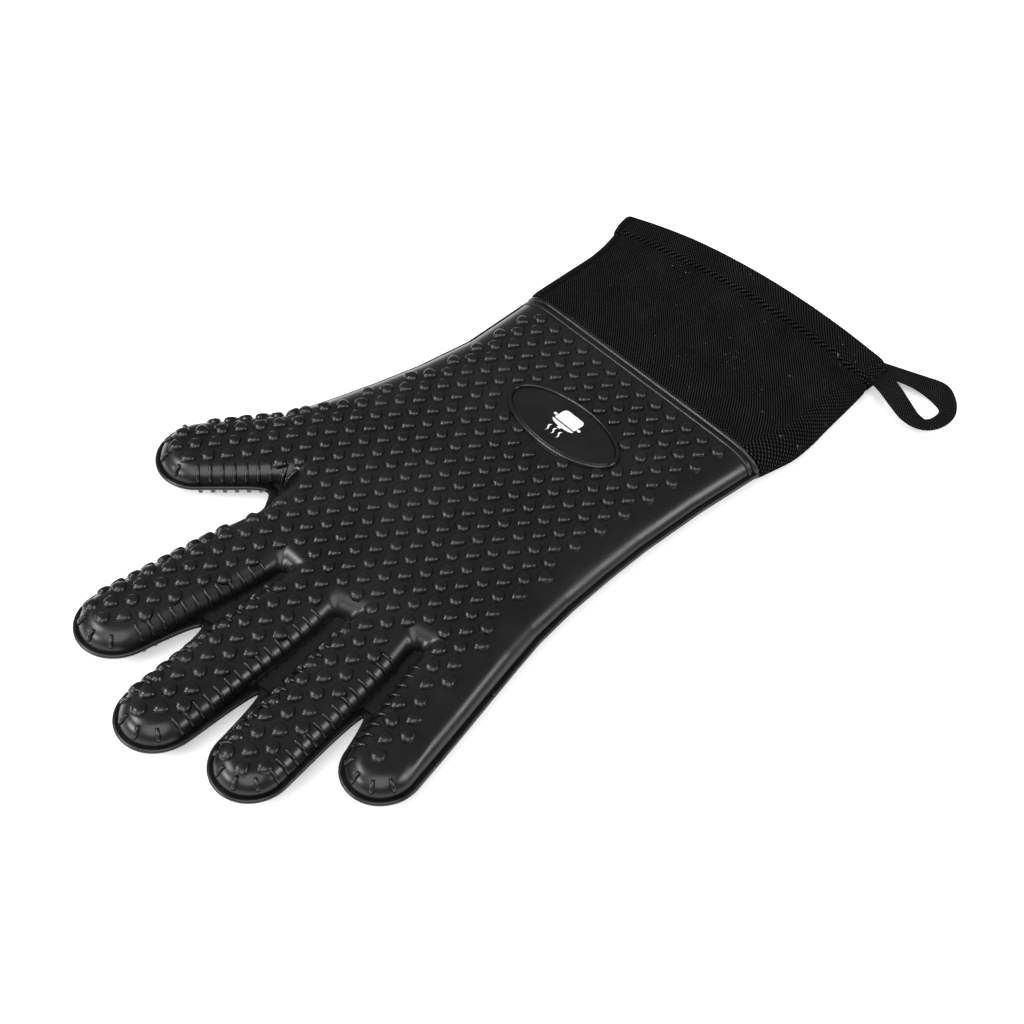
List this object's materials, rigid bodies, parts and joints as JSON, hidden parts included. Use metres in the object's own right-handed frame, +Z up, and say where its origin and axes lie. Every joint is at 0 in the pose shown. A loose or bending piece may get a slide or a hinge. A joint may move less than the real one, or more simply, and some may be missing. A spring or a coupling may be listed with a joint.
{
  "type": "silicone oven glove",
  "caption": "Five-finger heat-resistant silicone oven glove with raised grip nubs, a quilted cotton liner, a long fabric cuff and a hanging loop.",
  "frame": {"origin": "centre of the glove's outline on the surface it lies on, with its underside at z = 0", "axes": "+Y from the cuff to the fingertips, +X to the thumb side, +Z up out of the upper face"},
  "size_m": [0.195, 0.351, 0.0187],
  "materials": {
    "silicone": "satin moulded silicone with raised nubs",
    "wadding": "needled batting",
    "cotton_lining": "quilted plain-weave cotton",
    "badge_ink": "matt screen print",
    "black_twill": "brushed cotton twill",
    "black_thread": "spun sewing thread",
    "loop_tape": "folded twill tape"
  },
  "bodies": {
    "hand": {"palm_shell": "silicone", "palm_wadding": "wadding", "palm_lining": "cotton_lining", "badge_print": "badge_ink", "liner_seam_stitching": "black_thread"},
    "thumb": {"thumb_shell": "silicone", "thumb_wadding": "wadding", "thumb_lining": "cotton_lining"},
    "index": {"index_shell": "silicone", "index_wadding": "wadding", "index_lining": "cotton_lining"},
    "middle": {"middle_shell": "silicone", "middle_wadding": "wadding", "middle_lining": "cotton_lining"},
    "ring": {"ring_shell": "silicone", "ring_wadding": "wadding", "ring_lining": "cotton_lining"},
    "little": {"little_shell": "silicone", "little_wadding": "wadding", "little_lining": "cotton_lining"},
    "cuff": {"cuff_cloth": "black_twill", "cuff_lining": "cotton_lining", "hem_stitching": "black_thread", "side_seam_stitching": "black_thread", "loop_bartack": "black_thread"},
    "loop": {"hanging_loop": "loop_tape"}
  },
  "joints": [
    {"name": "thumb_root_flex", "type": "hinge", "parent": "hand", "child": "thumb", "pos_m": [0.056, 0.044, 0.0085], "axis": [0.809, -0.5878, 0], "range_deg": [-10, 60], "stiffness_Nm_per_rad": 0.15},
    {"name": "index_root_flex", "type": "hinge", "parent": "hand", "child": "index", "pos_m": [0.0245, 0.09, 0.0085], "axis": [0.9962, -0.0872, 0], "range_deg": [-10, 60], "stiffness_Nm_per_rad": 0.15},
    {"name": "middle_root_flex", "type": "hinge", "parent": "hand", "child": "middle", "pos_m": [-0.0074, 0.091, 0.0085], "axis": [0.994, 0.1097, 0], "range_deg": [-10, 60], "stiffness_Nm_per_rad": 0.15},
    {"name": "ring_root_flex", "type": "hinge", "parent": "hand", "child": "ring", "pos_m": [-0.0404, 0.085, 0.0085], "axis": [0.9792, 0.2028, 0], "range_deg": [-10, 60], "stiffness_Nm_per_rad": 0.15},
    {"name": "little_root_flex", "type": "hinge", "parent": "hand", "child": "little", "pos_m": [-0.0685, 0.075, 0.0085], "axis": [0.9397, 0.342, 0], "range_deg": [-10, 60], "stiffness_Nm_per_rad": 0.15},
    {"name": "wrist_flex", "type": "hinge", "parent": "hand", "child": "cuff", "pos_m": [0, -0.0805, 0.0092], "axis": [-1, 0, 0], "range_deg": [-8, 18], "stiffness_Nm_per_rad": 0.3},
    {"name": "loop_swing", "type": "hinge", "parent": "cuff", "child": "loop", "pos_m": [-0.0664, -0.1604, 0.0062], "axis": [0, 1, 0], "range_deg": [-15, 90], "stiffness_Nm_per_rad": 0.002}
  ]
}
